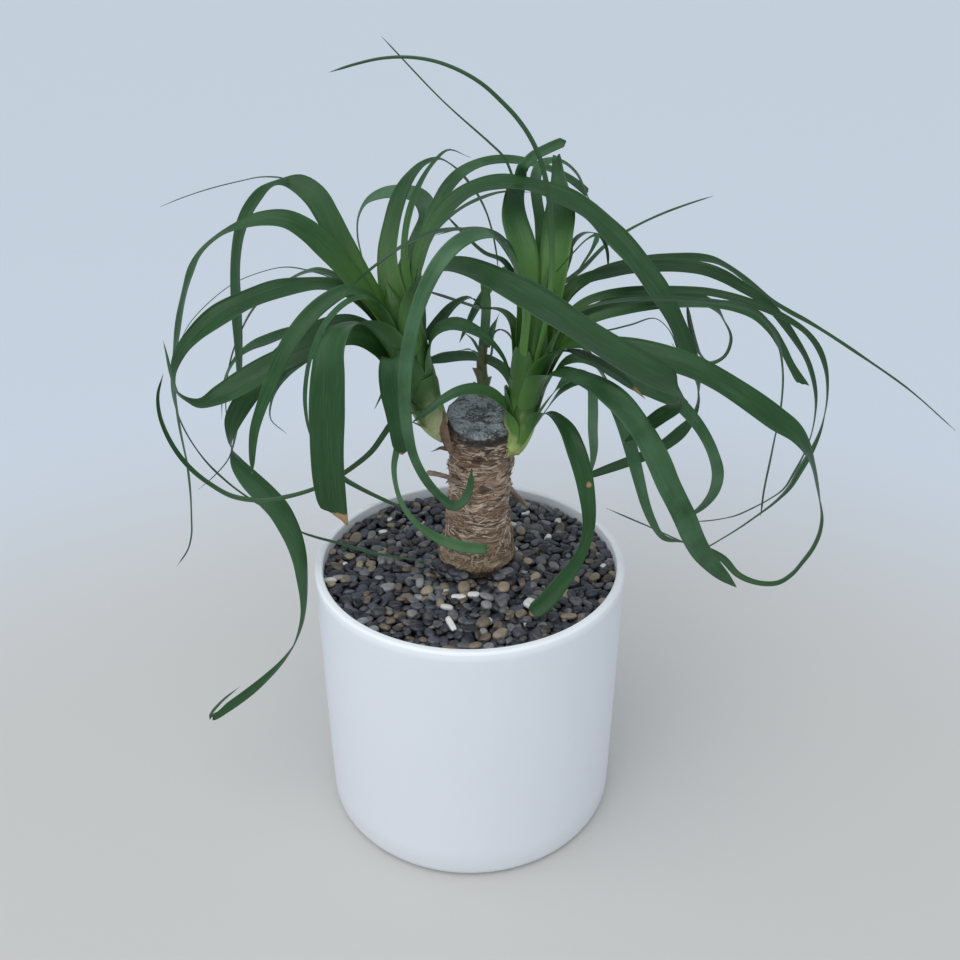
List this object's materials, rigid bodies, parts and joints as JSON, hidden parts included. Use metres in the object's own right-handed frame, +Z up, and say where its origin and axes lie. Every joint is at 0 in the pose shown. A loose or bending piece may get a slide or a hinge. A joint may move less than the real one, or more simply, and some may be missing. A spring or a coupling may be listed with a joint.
{
  "type": "potted ponytail palm",
  "caption": "Ponytail palm with a sawn-off waisted trunk and leafy shoots of long arching strap leaves, in a plain white cylindrical pot topped with pebbles.",
  "frame": {"origin": "centre of the pot's flat underside, where it stands on the floor", "axes": "+Z up along the pot's axis, +X to the right and +Y to the back as seen from the front"},
  "size_m": [0.5841, 0.2871, 0.5792],
  "materials": {
    "pot": "satin white glaze",
    "soil": "rough and moist",
    "pebbles": "smooth matt gravel",
    "bark": "fibrous bark, grey sawn top",
    "young_bark": "dry papery bark",
    "shoot": "smooth leaf bases",
    "leaf": "satin leaf with fine parallel veins"
  },
  "bodies": {
    "root": {"back_leaf_01": "leaf", "back_leaf_02": "leaf", "back_shoot": "young_bark", "left_leaf_01": "leaf", "left_leaf_02": "leaf", "left_leaf_03": "leaf", "left_leaf_04": "leaf", "left_leaf_05": "leaf", "left_leaf_06": "leaf", "left_leaf_07": "leaf", "left_leaf_08": "leaf", "left_leaf_09": "leaf", "left_leaf_10": "leaf", "left_leaf_11": "leaf", "left_leaf_12": "leaf", "left_leaf_13": "leaf", "left_leaf_14": "leaf", "left_leaf_15": "leaf", "left_leaf_16": "leaf", "left_leaf_17": "leaf", "left_leaf_18": "leaf", "left_leaf_19": "leaf", "left_leaf_20": "leaf", "left_leaf_21": "leaf", "left_leaf_22": "leaf", "left_leaf_23": "leaf", "left_leaf_24": "leaf", "left_shoot": "shoot", "pebble_bed": "pebbles", "pot": "pot", "potting_soil": "soil", "right_leaf_01": "leaf", "right_leaf_02": "leaf", "right_leaf_03": "leaf", "right_leaf_04": "leaf", "right_leaf_05": "leaf", "right_leaf_06": "leaf", "right_leaf_07": "leaf", "right_leaf_08": "leaf", "right_leaf_09": "leaf", "right_leaf_10": "leaf", "right_leaf_11": "leaf", "right_leaf_12": "leaf", "right_leaf_13": "leaf", "right_leaf_14": "leaf", "right_leaf_15": "leaf", "right_leaf_16": "leaf", "right_leaf_17": "leaf", "right_leaf_18": "leaf", "right_leaf_19": "leaf", "right_leaf_20": "leaf", "right_leaf_21": "leaf", "right_leaf_22": "leaf", "right_leaf_23": "leaf", "right_leaf_24": "leaf", "right_leaf_25": "leaf", "right_leaf_26": "leaf", "right_leaf_27": "leaf", "right_shoot": "shoot", "trunk": "bark"}
  },
  "joints": []
}
